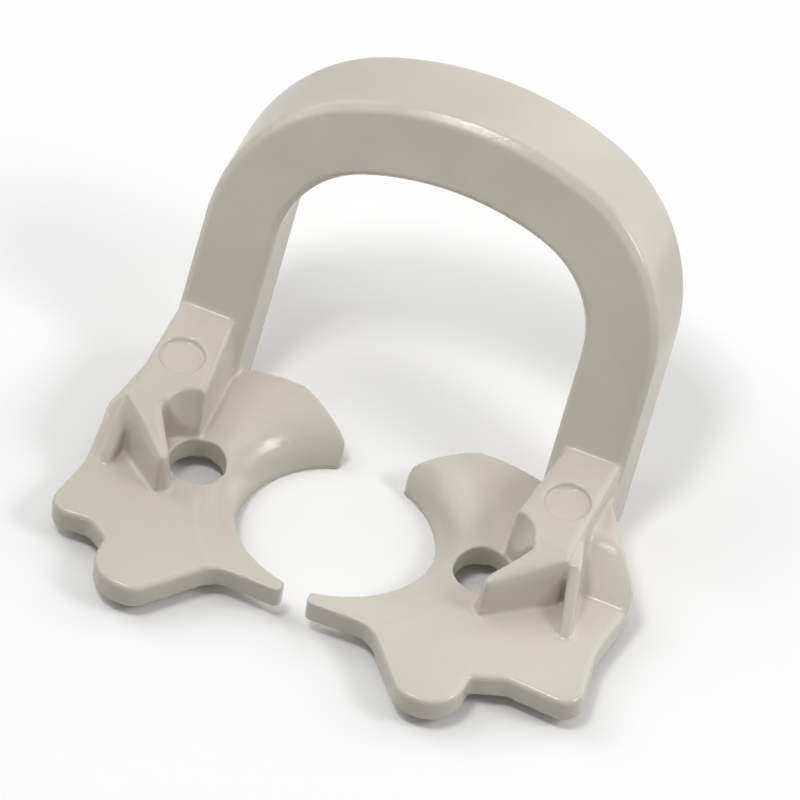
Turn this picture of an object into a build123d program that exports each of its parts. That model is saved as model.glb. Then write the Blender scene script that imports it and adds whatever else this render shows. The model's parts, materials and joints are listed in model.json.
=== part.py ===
from build123d import *
import math
import os

# Rubber dam clamp, one moulded piece. Lengths in millimetres, angles in degrees.
# The tooth axis is Z and passes through the origin. X runs across the two jaws, +Y is the bow side.
# The gripping lips of the jaws and the heels of the bow stand on Z = 0.

# Tooth recess and the collar round it
RECESS_R = 3.7          # radius of the opening that closes on the tooth
PRONG_GAP = 1.0         # clear gap between the tips of the two front prongs
CUP_GAP = 2.6           # clear gap between the tips of the two rear cups
COLLAR_W = 1.5          # radial width of the collar, and reach of the cups behind the recess
CUP_RISE = 0.5          # swell of the rear cups above the plate
LIP_DIP = 1.2           # fall of the collar's top at the gripping lip
LIP_T = 0.3             # height of the gripping lip where the dip is full
ROOT_STEP = 0.03        # roots of raised forms set inside the faces that carry them

# Jaw plates
PLATE_T = 1.0           # thickness of the flat plates
EDGE_R = 0.2            # rounding of the plates' upper edges
PRONG_W = 0.5           # width of a prong at its tip
LOBE_SHIFT = 0.55       # centre of a front lobe outside the forceps hole
LOBE_W = 2.05           # width of a front lobe
LOBE_OUT = 2.4          # reach of a front lobe beyond the prongs
LOBE_RUN = 2.1          # run of the slanted edge from prong to lobe
WING_SETBACK = 2.2      # wing's front edge behind the tip of the front lobe
WING_SHORT = 1.0        # reach of the left wing beyond the bow's leg
WING_LONG = 2.5         # reach of the right wing beyond the bow's leg
WING_R = 0.75           # corner radius of a wing
WAIST = 0.5             # depth of the waist between wing and ear
EAR_Y = 1.3             # place of the ear's corner along the clamp
EAR_SLOPE = 0.5         # rise of the flare behind an ear, for each unit of the wing's reach

# Forceps holes
HOLE_R = 1.05           # radius of a forceps hole
HOLE_Y = 0.2            # holes lie this far behind the tooth axis
HOLE_WEB = 0.9          # wall between tooth recess and forceps hole
GROOVE_TILT = 15.0      # lean of the guide groove above a hole, outwards and back

# Bow
BOW_LEAN = 28.0         # lean of the bow's front face from upright
BOW_W = 2.8             # width of the bow's front face
BOW_D = 3.0             # depth of the bow, front to back
BOW_SETBACK = 0.25      # bow's front face behind the collar, at the top of the feet
BOW_EDGE = 0.25         # bevel along the bow's edges
LEG_GAP = 0.4           # inner face of the bow's leg outside the axis of the forceps hole
ARCH_SPRING = 3.35      # straight rise of the bow's sides above the feet
ARCH_CORNER = 3.7       # inner corner radius of the bow
ARCH_CROWN = 0.4        # rise of the crown above the corners

# Feet, struts and ribs
FOOT_H = 2.0            # height of a foot above the plate
FOOT_LEN = 3.3          # reach of a foot's level top in front of the bow, to the edge of the pin mark
FOOT_STEP = 0.25        # front edge of a foot behind the axis of the forceps hole
FOOT_R = 0.25           # rounding of the upper edges of foot, strut and rib
FOOT_SLANT = 0.7        # slant of a foot's tooth side and of its face over the forceps hole
DRAFT = 0.1             # draw-in of the steep walls, base to top
PIN_R = 0.85            # radius of an ejector-pin mark
PIN_DEPTH = 0.2         # depth of an ejector-pin mark
STRUT_W = 0.8           # width of the strut's toe beside a forceps hole
STRUT_FALL = 0.35       # fall of the strut's top from the foot to its toe
STRUT_TURN = 53.0       # direction of the strut in plan
STRUT_GAP = 0.05        # strut's inner face clear of the forceps hole
STRUT_BATTER = 0.95     # spread of the strut's outer wall, top to base
RIB_W = 0.5             # width of the outer rib

plate_z = LIP_DIP + LIP_T - PLATE_T
plate_top = plate_z + PLATE_T
foot_top = plate_top + FOOT_H
collar_r = RECESS_R + COLLAR_W
hole_x = RECESS_R + HOLE_WEB + HOLE_R
crease_y = collar_r + BOW_SETBACK
foot_front = crease_y - FOOT_LEN
leg_in = hole_x + LEG_GAP
leg_out = leg_in + BOW_W
corner_y = HOLE_Y + FOOT_STEP
lean = math.radians(BOW_LEAN)


def jaw_outline(reach):
    """Plan of one jaw on the +X side, from the prong round the wing to the rear cup."""
    prong_y = -RECESS_R - PRONG_W
    lobe_y = prong_y - LOBE_OUT
    wing_y = lobe_y + WING_SETBACK
    lobe_in = hole_x + LOBE_SHIFT - LOBE_W / 2
    lobe_out = lobe_in + LOBE_W
    wing_in = lobe_out + 0.3 * (reach - lobe_out)
    corners = [
        (PRONG_GAP / 2, -RECESS_R / 2, 0.0),
        (PRONG_GAP / 2, prong_y, PRONG_W / 2),
        (lobe_in - LOBE_RUN, prong_y + 0.1, 1.2),
        (lobe_in, lobe_y, 0.45 * LOBE_W),
        (lobe_out, lobe_y, 0.65 * LOBE_W),
        (lobe_out, wing_y - 0.3, 0.2),
        (wing_in, wing_y + 0.2, 0.8),
        (reach, wing_y, WING_R),
        (reach - WAIST, (wing_y + EAR_Y) / 2, 1.2),
        (reach - WAIST / 3, EAR_Y, 1.2),
        (leg_out + 0.1, crease_y - 1.2, 0.6),
        (leg_out - 0.2, crease_y + BOW_D / 3, 0.0),
        (leg_in + 0.4, crease_y + BOW_D / 3, 0.0),
        (leg_in + 0.4, collar_r, 0.0),
        (CUP_GAP / 2 + 2.2, collar_r, 1.6),
        (CUP_GAP / 2, RECESS_R + 0.3, 0.25),
        (CUP_GAP / 2, RECESS_R / 2, 0.0),
    ]
    points = [(x, y) for x, y, r in corners]
    radii = [r for x, y, r in corners]
    return make_face(FilletPolyline(points, radius=radii, close=True))


def collar_section(angle, dip, swell, width):
    """Radial section of the collar: a plate that swells, then bends down to a gripping lip."""
    top = plate_top - ROOT_STEP
    bottom = plate_z + ROOT_STEP
    bore = RECESS_R - EDGE_R
    root = RECESS_R + width
    lip_top = plate_top - max(dip * LIP_DIP, ROOT_STEP)
    lip_low = bottom * (1 - dip)
    crest = top + swell * CUP_RISE
    upper = Bezier(
        (root, top),
        (RECESS_R + 0.6 * width, crest),
        (RECESS_R + 0.4 * COLLAR_W, crest),
        (RECESS_R, lip_top),
    )
    inner = Polyline((RECESS_R, lip_top), (bore, lip_top), (bore, lip_low))
    heel = RECESS_R + LIP_T
    knee = RECESS_R + 0.75 * COLLAR_W
    lower = Polyline((bore, lip_low), (heel, lip_low), (knee, bottom), (root, bottom))
    back = Line((root, bottom), (root, top))
    radial = Plane.XZ.rotated((0, 0, angle))
    return radial * make_face([upper, inner, lower, back])


def collar():
    """Collar on the +X side: flat at the prong, dipping at the side, and swelling into the rear cup."""
    near = COLLAR_W + 0.3
    wide = leg_out - RECESS_R
    stations = [
        (-90, 0.0, 0.0, near),
        (-50, 0.0, 0.0, near),
        (-10, 0.45, 0.1, near),
        (30, 1.0, 0.7, (near + wide) / 2),
        (90, 0.9, 1.0, wide),
    ]
    return loft([collar_section(*station) for station in stations])


def jaw_plate(reach):
    """Flat plate with its collar, trimmed to the jaw's outline and rounded along the upper edge."""
    span = 2 * (reach + leg_out)
    flat = Rectangle(span, span) - Circle(collar_r)
    behind = HOLE_Y + HOLE_R
    flat -= Pos(0, behind) * Rectangle(2 * leg_in + 0.4, span, align=(Align.CENTER, Align.MIN))
    flat = Pos(0, 0, plate_z) * extrude(flat, PLATE_T)
    trim = extrude(jaw_outline(reach), plate_top + CUP_RISE)
    rim = extrude(jaw_outline(reach), plate_top)
    rim = fillet(rim.faces().sort_by(Axis.Z)[-1].edges(), EDGE_R)
    return (flat & rim) + (collar() & trim) - Cylinder(RECESS_R, 4 * foot_top)


def drafted_block(low, high, wall):
    """Block from plan points low, in the plate, to top points high, rounded as its wall allows."""
    base = Pos(0, 0, plate_z + ROOT_STEP) * make_face(Polyline(low, close=True))
    top = make_face(Polyline(high, close=True))
    block = loft([base, top], ruled=True)
    return fillet(block.faces().sort_by(Axis.Z)[-1].edges(), min(FOOT_R, wall / 3.2))


def foot():
    """Foot under the bow, slanted on its tooth side and over the forceps hole."""
    back = crease_y + 0.6
    inner = leg_in - 0.05
    outer = leg_out - DRAFT
    front = HOLE_Y + 0.8 * HOLE_R
    low = [
        (inner, back),
        (inner, front),
        (leg_in + 0.5 * BOW_W, corner_y),
        (leg_out, corner_y),
        (leg_out, back),
    ]
    high = [
        (inner + FOOT_SLANT, back, foot_top),
        (inner + 0.15, front + FOOT_SLANT, foot_top),
        (leg_in + 0.47 * BOW_W, corner_y + DRAFT, foot_top),
        (outer, corner_y + DRAFT, foot_top),
        (outer, back, foot_top),
    ]
    return drafted_block(low, high, BOW_W)


def strut_point(along, across):
    """Plan point beside the forceps hole, along the strut and across it from its inner face."""
    turn = math.radians(STRUT_TURN)
    out = HOLE_R + STRUT_GAP + across
    x = hole_x + out * math.sin(turn) + along * math.cos(turn)
    y = HOLE_Y - out * math.cos(turn) + along * math.sin(turn)
    return (x, y)


def strut():
    """Wedge from the foot past the forceps hole, with a narrow ridge and a battered outer wall."""
    toe = -1.3 * HOLE_R
    nose = 3 * DRAFT
    root_y = corner_y + 2 * FOOT_R
    root_out = (leg_out - DRAFT, root_y)
    root_in = (root_out[0] - 1.4 * STRUT_W, root_y)
    low = [
        root_in,
        strut_point(toe + nose, 0),
        strut_point(toe, 0.4 * STRUT_W),
        strut_point(toe, 1.1 * STRUT_W),
        (leg_out - 2 * DRAFT, corner_y - STRUT_BATTER),
        root_out,
    ]
    plan = [
        root_in,
        strut_point(toe + 2 * nose, 0.3 * STRUT_W),
        strut_point(toe + 1.2 * nose, 0.5 * STRUT_W),
        strut_point(toe + nose, 0.85 * STRUT_W),
        (leg_out - DRAFT, corner_y),
        root_out,
    ]
    toe_y = strut_point(toe + nose, STRUT_W)[1]
    grade = STRUT_FALL / (root_y - toe_y)
    high = [(x, y, foot_top - grade * (root_y - y)) for x, y in plan]
    return drafted_block(low, high, STRUT_W / 2)


def rib(reach):
    """Outer rib: level along the foot's side, then falling from its front corner to the wing."""
    toe_y = corner_y - FOOT_H
    crest = foot_top - FOOT_R
    base = plate_z + ROOT_STEP
    start = leg_out - 1.15 * RIB_W
    end = leg_out + 0.63 * (reach - leg_out) - 2.15 * RIB_W
    sides = [(start, foot_front), (end, toe_y), (end + RIB_W, toe_y), (start + RIB_W, foot_front)]
    fall = [(foot_front, base), (foot_front, crest), (corner_y, crest), (toe_y, plate_top), (toe_y, base)]
    bar = extrude(make_face(Polyline(sides, close=True)), foot_top)
    bar &= extrude(Plane.YZ * make_face(Polyline(fall, close=True)), 2 * reach)
    long_edges = bar.edges().filter_by(lambda e: abs((e % 0.5).Y) > 0.5)
    return fillet(long_edges.filter_by(lambda e: e.center().Z > plate_top), min(FOOT_R, RIB_W / 3.2))


def ear_flare(reach):
    """Sloping web behind the ear that ties the wing to the bow's leg."""
    rise = EAR_SLOPE * (reach - leg_out)
    profile = Polyline(
        (EAR_Y - 0.6, -PLATE_T / 2),
        (EAR_Y - 0.6, 0),
        (EAR_Y + 1.2, rise),
        (crease_y, rise),
        (crease_y, -PLATE_T / 2),
        close=True,
    )
    web = Pos(0, 0, plate_top) * extrude(Plane.YZ * make_face(profile), reach)
    column = extrude(jaw_outline(reach), foot_top)
    inside = Pos(leg_out / 2 - 0.2, 0, 0) * Box(leg_out, 8 * leg_out, 8 * leg_out)
    return (web & column) - inside


def jaw(reach):
    """One jaw on the +X side with its foot, strut, rib, ear, forceps hole and pin mark."""
    body = jaw_plate(reach) + foot() + strut() + rib(reach) + ear_flare(reach)
    hole = Pos(hole_x, HOLE_Y, 0) * extrude(Circle(HOLE_R), plate_top)
    tilt = math.radians(GROOVE_TILT)
    mouth = Pos(hole_x, HOLE_Y, plate_top) * Circle(HOLE_R)
    groove = extrude(mouth, 2 * FOOT_H, dir=(math.sin(tilt), math.sin(tilt), math.cos(tilt)))
    pin_y = foot_front + PIN_R
    pin = Pos((leg_in + leg_out) / 2 + 0.2, pin_y, foot_top - PIN_DEPTH) * Cylinder(
        PIN_R, FOOT_H, align=(Align.CENTER, Align.CENTER, Align.MIN)
    )
    return body - hole - groove - pin


def arch(grow, below):
    """Face of a three-centred arch in the plane of the bow, wider by grow all round."""
    corner_x = leg_in - ARCH_CORNER
    crown_r = (corner_x**2 + (ARCH_CORNER + ARCH_CROWN) ** 2 - ARCH_CORNER**2) / (2 * ARCH_CROWN)
    crown_y = ARCH_SPRING + ARCH_CORNER + ARCH_CROWN - crown_r
    turn = math.degrees(math.atan2(ARCH_SPRING - crown_y, corner_x))
    right = CenterArc((corner_x, ARCH_SPRING), ARCH_CORNER + grow, 0, turn)
    crown = CenterArc((0, crown_y), crown_r + grow, turn, 180 - 2 * turn)
    left = CenterArc((-corner_x, ARCH_SPRING), ARCH_CORNER + grow, 180 - turn, turn)
    half = leg_in + grow
    sides = Polyline(left @ 1, (-half, -below), (half, -below), right @ 0)
    return make_face([right, crown, left, sides])


def bow():
    """Leaning bow drawn in the plane of its front face and carried straight back to its depth."""
    below = 2 * foot_top
    outer = arch(BOW_W, below)
    inner = arch(0, below + 1)
    front = Plane((0, crease_y, foot_top), (1, 0, 0), (0, -math.cos(lean), math.sin(lean)))
    strap = extrude(front * (outer - inner), BOW_D, dir=(0, 1, 0))
    long_edges = strap.edges().filter_by(lambda e: abs((e % 0.5).Y) < 0.95)
    strap = chamfer(long_edges.filter_by(lambda e: e.center().Z > 0), BOW_EDGE)
    above = Pos(0, 0, 10 * foot_top) * Box(20 * foot_top, 20 * foot_top, 20 * foot_top)
    return strap & above


clamp = bow() + jaw(leg_out + WING_LONG) + mirror(jaw(leg_out + WING_SHORT), about=Plane.YZ)

os.makedirs("parts", exist_ok=True)
export_step(clamp, "parts/clamp.step")
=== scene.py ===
"""Dresses the moulded rubber dam clamp: softened skin, satin plastic, pale studio and camera."""

import json
import logging
import math
from dataclasses import dataclass, field
from enum import Enum

import bpy
from mathutils import Euler, Matrix, Vector


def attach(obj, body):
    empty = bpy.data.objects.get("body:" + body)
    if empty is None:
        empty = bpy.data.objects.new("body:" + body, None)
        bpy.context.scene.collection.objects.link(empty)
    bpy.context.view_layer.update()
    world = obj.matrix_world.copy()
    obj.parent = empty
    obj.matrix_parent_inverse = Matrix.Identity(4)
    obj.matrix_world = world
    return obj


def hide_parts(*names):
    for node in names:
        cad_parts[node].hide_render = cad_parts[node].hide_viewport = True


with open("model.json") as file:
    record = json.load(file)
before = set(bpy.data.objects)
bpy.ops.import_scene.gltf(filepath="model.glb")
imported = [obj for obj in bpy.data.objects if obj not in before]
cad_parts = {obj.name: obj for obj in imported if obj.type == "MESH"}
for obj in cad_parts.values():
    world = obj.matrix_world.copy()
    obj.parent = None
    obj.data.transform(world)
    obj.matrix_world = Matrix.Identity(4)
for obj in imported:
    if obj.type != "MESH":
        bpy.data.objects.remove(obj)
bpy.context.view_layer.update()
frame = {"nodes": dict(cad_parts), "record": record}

MM = 0.001
LOG = logging.getLogger("clamp")

Colour = tuple[float, float, float]
Point = tuple[float, float, float]
Span = tuple[float, float]

WHITE: Colour = (1.0, 1.0, 1.0)


class Grain(Enum):
    """Texture of a moulded surface: its cycles per metre and the number of its finer octaves."""

    CLOUD = (160.0, 4.0)
    FLOW = (520.0, 3.0)
    SATIN = (5200.0, 3.0)


@dataclass(frozen=True)
class SatinPlastic:
    """Greige moulded plastic with a spark-eroded satin skin.

    Attributes:
        name: Name of the material.
        light: Colour of the paler streaks.
        dark: Colour of the darker streaks.
        streaks: Noise levels between which the colour goes from dark to light.
        smooth: Lowest roughness of the skin.
        rough: Highest roughness of the skin.
        patches: Noise levels between which the roughness goes from lowest to highest.
        grain: Height of the satin texture in metres.
        wave: Height of the gentle waves left as the plastic cooled, in metres.
        specular: Level of the plain gloss.
    """

    name: str = "satin_plastic"
    light: Colour = (0.630, 0.590, 0.516)
    dark: Colour = (0.560, 0.522, 0.452)
    streaks: Span = (0.36, 0.66)
    smooth: float = 0.19
    rough: float = 0.265
    patches: Span = (0.3, 0.7)
    grain: float = 0.000006
    wave: float = 0.000012
    specular: float = 0.5

    def build(self) -> bpy.types.Material:
        """Makes the node material.

        Returns:
            The finished material.
        """
        material = bpy.data.materials.new(self.name)
        material.use_nodes = True
        tree = material.node_tree
        shader = tree.nodes["Principled BSDF"]
        shader.inputs["Specular IOR Level"].default_value = self.specular
        place = tree.nodes.new("ShaderNodeTexCoord").outputs["Object"]
        self._colour(tree, place, shader)
        self._gloss(tree, place, shader)
        self._relief(tree, place, shader)
        return material

    def _noise(self, tree: bpy.types.NodeTree, place: bpy.types.NodeSocket,
               grain: Grain) -> bpy.types.NodeSocket:
        """Adds one noise pattern.

        Args:
            tree: Node tree to add to.
            place: Socket that gives the point on the surface.
            grain: Texture of the pattern.

        Returns:
            The socket with the pattern's height.
        """
        scale, detail = grain.value
        node = tree.nodes.new("ShaderNodeTexNoise")
        node.inputs["Scale"].default_value = scale
        node.inputs["Detail"].default_value = detail
        tree.links.new(place, node.inputs["Vector"])
        return node.outputs["Fac"]

    def _colour(self, tree: bpy.types.NodeTree, place: bpy.types.NodeSocket,
                shader: bpy.types.ShaderNode) -> None:
        """Streaks the base colour where the melt flowed.

        Args:
            tree: Node tree to add to.
            place: Socket that gives the point on the surface.
            shader: Shader that takes the colour.
        """
        ramp = tree.nodes.new("ShaderNodeValToRGB")
        low, high = ramp.color_ramp.elements
        low.position, high.position = self.streaks
        low.color = rgba(self.dark)
        high.color = rgba(self.light)
        cloud = self._noise(tree, place, Grain.CLOUD)
        tree.links.new(cloud, ramp.inputs["Fac"])
        tree.links.new(ramp.outputs["Color"], shader.inputs["Base Color"])

    def _gloss(self, tree: bpy.types.NodeTree, place: bpy.types.NodeSocket,
               shader: bpy.types.ShaderNode) -> None:
        """Varies the roughness over the skin.

        Args:
            tree: Node tree to add to.
            place: Socket that gives the point on the surface.
            shader: Shader that takes the roughness.
        """
        low, high = self.patches
        spread = tree.nodes.new("ShaderNodeMapRange")
        spread.inputs["From Min"].default_value = low
        spread.inputs["From Max"].default_value = high
        spread.inputs["To Min"].default_value = self.smooth
        spread.inputs["To Max"].default_value = self.rough
        flow = self._noise(tree, place, Grain.FLOW)
        tree.links.new(flow, spread.inputs["Value"])
        tree.links.new(spread.outputs["Result"], shader.inputs["Roughness"])

    def _relief(self, tree: bpy.types.NodeTree, place: bpy.types.NodeSocket,
                shader: bpy.types.ShaderNode) -> None:
        """Gives the skin its gentle waves and its satin texture.

        Args:
            tree: Node tree to add to.
            place: Socket that gives the point on the surface.
            shader: Shader that takes the normal.
        """
        normal = None
        for grain, height in ((Grain.FLOW, self.wave), (Grain.SATIN, self.grain)):
            bump = tree.nodes.new("ShaderNodeBump")
            bump.inputs["Distance"].default_value = height
            tree.links.new(self._noise(tree, place, grain), bump.inputs["Height"])
            if normal is not None:
                tree.links.new(normal, bump.inputs["Normal"])
            normal = bump.outputs["Normal"]
        tree.links.new(normal, shader.inputs["Normal"])


@dataclass(frozen=True)
class SoftSpot:
    """Place beside each forceps hole where the edges are rounder than elsewhere.

    Attributes:
        out: Distance from the hole away from the middle, in millimetres.
        back: Distance behind the hole, in millimetres.
        up: Height above the hole's mount, in millimetres.
        radius: Reach of the rounding, in millimetres.
    """

    out: float
    back: float
    up: float
    radius: float

    def weight(self, point: Vector, hole: Vector) -> float:
        """Gives how much a point is rounded.

        Args:
            point: Point on the skin, in millimetres.
            hole: Mount of the forceps hole, in millimetres.

        Returns:
            0 outside the spot, rising softly to 1 in its middle.
        """
        side = math.copysign(1.0, hole.x)
        centre = hole + Vector((side * self.out, self.back, self.up))
        near = max(0.0, 1.0 - (point - centre).length / self.radius)
        return near * near * (3.0 - 2.0 * near)


@dataclass
class ClampSkin:
    """Skin of the clamp as it leaves the mould: the solid with soft edges and blended corners.

    Attributes:
        name: Name of the skin.
        node: Name of the solid that the skin stands for.
        cell: Cell of the skin's even mesh, in millimetres.
        passes: Smoothing passes that round the edges.
        strength: Strength of each pass.
        facets: Triangles that the finished skin may have.
        soft_spots: Struts and ears, which are rounder than the other edges.
        soft_passes: Smoothing passes in the middle of a soft spot.
        finish: Finish of the skin.
    """

    name: str = "clamp_skin"
    node: str = "clamp"
    cell: float = 0.065
    passes: int = 8
    strength: float = 0.5
    facets: int = 160000
    soft_spots: tuple[SoftSpot, ...] = (
        SoftSpot(out=1.3, back=-1.1, up=2.1, radius=2.0),
        SoftSpot(out=4.0, back=2.1, up=1.4, radius=1.7),
    )
    soft_passes: int = 190
    finish: SatinPlastic = field(default_factory=SatinPlastic)

    def build(self) -> bpy.types.Object:
        """Makes the skin from a copy of the solid's mesh.

        Returns:
            The skin in its place, in metres.
        """
        mesh = frame["nodes"][self.node].data.copy()
        mesh.transform(Matrix.Scale(1.0 / MM, 4))
        skin = bpy.data.objects.new(self.name, mesh)
        bpy.context.scene.collection.objects.link(skin)
        even = skin.modifiers.new("even", "REMESH")
        even.mode = "VOXEL"
        even.voxel_size = self.cell
        even.adaptivity = 0.0
        even.use_smooth_shade = True
        soften = skin.modifiers.new("soften", "SMOOTH")
        soften.factor = self.strength
        soften.iterations = self.passes
        self._bake(skin)
        self._round_spots(skin)
        thin = skin.modifiers.new("thin", "DECIMATE")
        thin.ratio = self.facets / self._triangles(skin)
        self._bake(skin)
        skin.data.transform(Matrix.Scale(MM, 4))
        return skin

    def _round_spots(self, skin: bpy.types.Object) -> None:
        """Rounds the soft spots beside both forceps holes.

        Args:
            skin: Skin to round, in millimetres.
        """
        mounts = frame["record"]["mounts"]
        holes = [Vector(mount["pos_m"]) / MM for mount in mounts if mount["kind"] == "bore"]
        group = skin.vertex_groups.new(name="soft")
        for vertex in skin.data.vertices:
            weight = max(spot.weight(vertex.co, hole) for spot in self.soft_spots for hole in holes)
            if weight > 0.0:
                group.add([vertex.index], weight, "REPLACE")
        ease = skin.modifiers.new("ease", "SMOOTH")
        ease.vertex_group = group.name
        ease.factor = self.strength
        ease.iterations = self.soft_passes
        self._bake(skin)
        skin.vertex_groups.clear()

    def _triangles(self, skin: bpy.types.Object) -> int:
        """Counts the triangles of the skin's own mesh."""
        return sum(len(face.vertices) - 2 for face in skin.data.polygons)

    def _bake(self, skin: bpy.types.Object) -> None:
        """Turns the modifiers' result into the skin's own mesh.

        Args:
            skin: Skin with its modifiers.
        """
        view = bpy.context.evaluated_depsgraph_get()
        result = bpy.data.meshes.new_from_object(skin.evaluated_get(view))
        old = skin.data
        skin.modifiers.clear()
        skin.data = result
        bpy.data.meshes.remove(old)
        result.name = self.name

    def dress(self, skin: bpy.types.Object) -> None:
        """Gives the skin and the hidden solid their finish and ties the skin to the part.

        Args:
            skin: Skin to dress.
        """
        material = self.finish.build()
        skin.data.materials.clear()
        skin.data.materials.append(material)
        cad = frame["nodes"][self.node]
        for slot in cad.material_slots:
            slot.material = material
        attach(skin, "root")
        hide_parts(self.node)


@dataclass(frozen=True)
class SoftLamp:
    """Square soft lamp aimed at the clamp.

    Attributes:
        name: Name of the lamp.
        azimuth: Direction round the clamp, 0 in front and positive to the right, in degrees.
        elevation: Height above the table, in degrees.
        distance: Distance from the clamp, in metres.
        size: Side of the lamp, in metres.
        level: Light that it gives a facing surface, where 1 shows a colour as it is.
    """

    name: str
    azimuth: float
    elevation: float
    distance: float
    size: float
    level: float

    def build(self, target: Vector) -> bpy.types.Object:
        """Hangs the lamp.

        Args:
            target: Point that the lamp faces.

        Returns:
            The lamp's object.
        """
        data = bpy.data.lights.new(self.name, "AREA")
        data.shape = "SQUARE"
        data.size = self.size
        # A facing surface gets energy / (pi * distance^2), and pi of that shows a colour as it is.
        data.energy = self.level * math.pi ** 2 * self.distance ** 2
        lamp = bpy.data.objects.new(self.name, data)
        bpy.context.scene.collection.objects.link(lamp)
        away = direction(self.azimuth, self.elevation)
        lamp.location = target + away * self.distance
        lamp.rotation_euler = away.to_track_quat("Z", "Y").to_euler()
        return lamp


@dataclass
class Studio:
    """Pale table under soft light.

    Attributes:
        floor_side: Side of the table top, in metres.
        floor_colour: Colour of the table top to the camera.
        floor_bounce: Colour that the table top throws back on the clamp.
        ambient: Strength of the light from all round.
        background: Colour that the camera sees behind the table.
        lamps: Soft lamps round the clamp.
    """

    floor_side: float = 3.0
    floor_colour: Colour = (0.95, 0.95, 0.95)
    floor_bounce: Colour = (0.58, 0.58, 0.575)
    ambient: float = 0.27
    background: Colour = WHITE
    lamps: tuple[SoftLamp, ...] = (
        SoftLamp("key_lamp", azimuth=-48.0, elevation=73.0, distance=0.30, size=0.065, level=0.28),
        SoftLamp("left_lamp", azimuth=-100.0, elevation=42.0, distance=0.32, size=0.24, level=0.34),
        SoftLamp("right_lamp", azimuth=97.0, elevation=42.0, distance=0.34, size=0.10, level=0.28),
        SoftLamp("rim_lamp", azimuth=131.0, elevation=14.0, distance=0.40, size=0.30, level=0.30),
        SoftLamp("back_lamp", azimuth=163.0, elevation=48.0, distance=0.34, size=0.20, level=0.11),
    )

    def build(self, target: Vector) -> None:
        """Sets up the table, the lamps and the surroundings.

        Args:
            target: Point that the lamps face.
        """
        self._floor()
        self._surroundings()
        for lamp in self.lamps:
            lamp.build(target)
        bpy.context.scene.view_settings.view_transform = "Standard"

    def _floor(self) -> None:
        """Lays the table top at the clamp's heels."""
        half = self.floor_side / 2
        mesh = bpy.data.meshes.new("table_top")
        corners = [(-half, -half, 0), (half, -half, 0), (half, half, 0), (-half, half, 0)]
        mesh.from_pydata(corners, [], [(0, 1, 2, 3)])
        top = bpy.data.objects.new("table_top", mesh)
        bpy.context.scene.collection.objects.link(top)
        mesh.materials.append(self._table_white())

    def _table_white(self) -> bpy.types.Material:
        """Makes the table's matt finish, paler to the camera than to the clamp.

        Returns:
            The finished material.
        """
        material = bpy.data.materials.new("table_white")
        material.use_nodes = True
        tree = material.node_tree
        tree.nodes.clear()
        out = tree.nodes.new("ShaderNodeOutputMaterial")
        seen = tree.nodes.new("ShaderNodeBsdfDiffuse")
        seen.inputs["Color"].default_value = rgba(self.floor_colour)
        bounce = tree.nodes.new("ShaderNodeBsdfDiffuse")
        bounce.inputs["Color"].default_value = rgba(self.floor_bounce)
        show(tree, seen.outputs["BSDF"], bounce.outputs["BSDF"], out)
        return material

    def _surroundings(self) -> None:
        """Lights the scene from all round and shows the camera a plain background."""
        world = bpy.data.worlds.new("studio_world")
        bpy.context.scene.world = world
        world.use_nodes = True
        tree = world.node_tree
        tree.nodes.clear()
        out = tree.nodes.new("ShaderNodeOutputWorld")
        light = tree.nodes.new("ShaderNodeBackground")
        light.inputs["Color"].default_value = rgba(WHITE)
        light.inputs["Strength"].default_value = self.ambient
        seen = tree.nodes.new("ShaderNodeBackground")
        seen.inputs["Color"].default_value = rgba(self.background)
        show(tree, seen.outputs["Background"], light.outputs["Background"], out)


@dataclass
class PictureCamera:
    """Long lens at the picture's viewing angle.

    Attributes:
        azimuth: Direction round the clamp, 0 in front and positive to the right, in degrees.
        elevation: Height above the table, in degrees.
        roll: Lean of upright lines to the right, in degrees.
        distance: Distance from the clamp, in metres.
        view_width: Width that the frame shows at the clamp, in metres.
        clip: Nearest and farthest distance that it shows, in metres.
        aim: Point in the middle of the frame, in metres.
    """

    azimuth: float = 16.9
    elevation: float = 48.0
    roll: float = 8.0
    distance: float = 0.40
    view_width: float = 0.0290
    clip: Span = (0.01, 20.0)
    aim: Point = (0.00075, 0.0032, 0.0052)

    def build(self) -> bpy.types.Object:
        """Sets up the camera and makes it the scene's own.

        Returns:
            The camera's object.
        """
        data = bpy.data.cameras.new("picture_camera")
        data.sensor_fit = "HORIZONTAL"
        data.lens = data.sensor_width * self.distance / self.view_width
        data.clip_start, data.clip_end = self.clip
        camera = bpy.data.objects.new("picture_camera", data)
        bpy.context.scene.collection.objects.link(camera)
        away = direction(self.azimuth, self.elevation)
        camera.location = Vector(self.aim) + away * self.distance
        turn = away.to_track_quat("Z", "Y").to_matrix()
        turn = turn @ Euler((0.0, 0.0, math.radians(self.roll))).to_matrix()
        camera.rotation_euler = turn.to_euler()
        bpy.context.scene.camera = camera
        return camera


def rgba(colour: Colour) -> tuple[float, float, float, float]:
    """Gives a colour as an opaque one with four channels."""
    return (*colour, 1.0)


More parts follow.
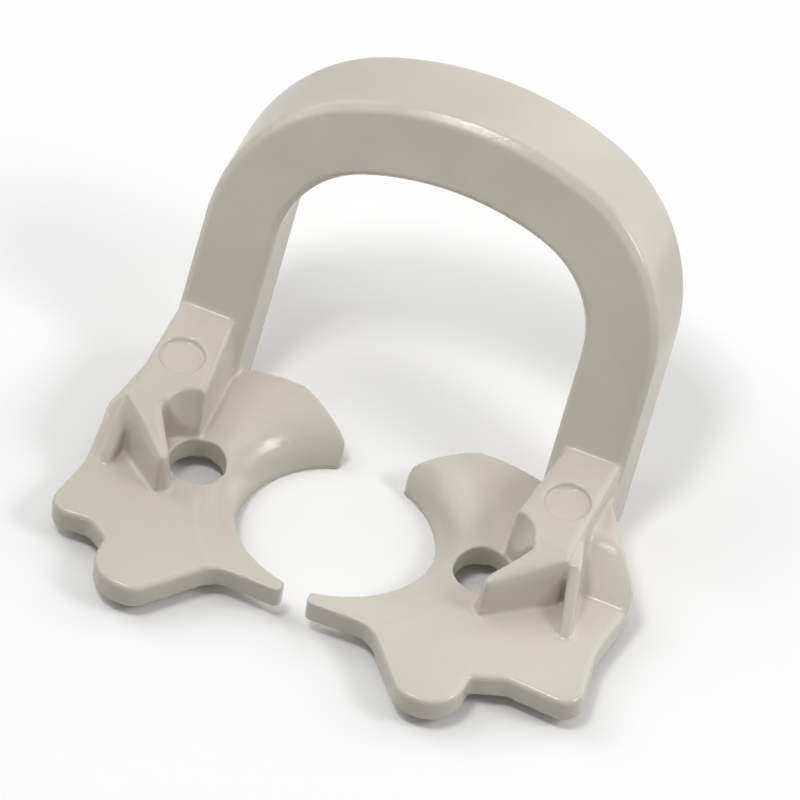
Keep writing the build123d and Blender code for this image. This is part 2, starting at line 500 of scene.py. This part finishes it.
def direct_rays(tree: bpy.types.NodeTree) -> bpy.types.NodeSocket:
    """Adds the test for rays from the camera, in gloss and through clear things.

    Args:
        tree: Node tree to add to.

    Returns:
        The socket that is 1 for such a ray.
    """
    rays = tree.nodes.new("ShaderNodeLightPath")
    gloss = tree.nodes.new("ShaderNodeMath")
    gloss.operation = "MAXIMUM"
    clear = tree.nodes.new("ShaderNodeMath")
    clear.operation = "MAXIMUM"
    tree.links.new(rays.outputs["Is Camera Ray"], gloss.inputs[0])
    tree.links.new(rays.outputs["Is Glossy Ray"], gloss.inputs[1])
    tree.links.new(gloss.outputs["Value"], clear.inputs[0])
    tree.links.new(rays.outputs["Is Transmission Ray"], clear.inputs[1])
    return clear.outputs["Value"]


def show(tree: bpy.types.NodeTree, seen: bpy.types.NodeSocket, lit: bpy.types.NodeSocket,
         out: bpy.types.ShaderNode) -> None:
    """Shows one shader to direct rays and lights the scene with another.

    Args:
        tree: Node tree to add to.
        seen: Shader that direct rays find.
        lit: Shader that all other rays find.
        out: Output node of the tree.
    """
    mix = tree.nodes.new("ShaderNodeMixShader")
    tree.links.new(direct_rays(tree), mix.inputs["Fac"])
    tree.links.new(lit, mix.inputs[1])
    tree.links.new(seen, mix.inputs[2])
    tree.links.new(mix.outputs["Shader"], out.inputs["Surface"])


def direction(azimuth: float, elevation: float) -> Vector:
    """Gives the unit vector from the clamp towards a place round it.

    Args:
        azimuth: Direction round the clamp, 0 in front and positive to the right, in degrees.
        elevation: Height above the table, in degrees.

    Returns:
        The unit vector.
    """
    turn = math.radians(azimuth)
    rise = math.radians(elevation)
    flat = math.cos(rise)
    return Vector((flat * math.sin(turn), -flat * math.cos(turn), math.sin(rise)))


def main() -> None:
    """Builds the skin, the studio and the camera."""
    logging.basicConfig(level=logging.INFO, format="%(name)s: %(message)s")
    clamp = ClampSkin()
    skin = clamp.build()
    clamp.dress(skin)
    LOG.info("%s: %d faces", skin.name, len(skin.data.polygons))
    camera = PictureCamera()
    Studio().build(Vector(camera.aim))
    LOG.info("studio: table and lamps in place")
    camera.build()
    LOG.info("camera: lens %.0f mm", bpy.context.scene.camera.data.lens)


if __name__ == "__main__":
    main()
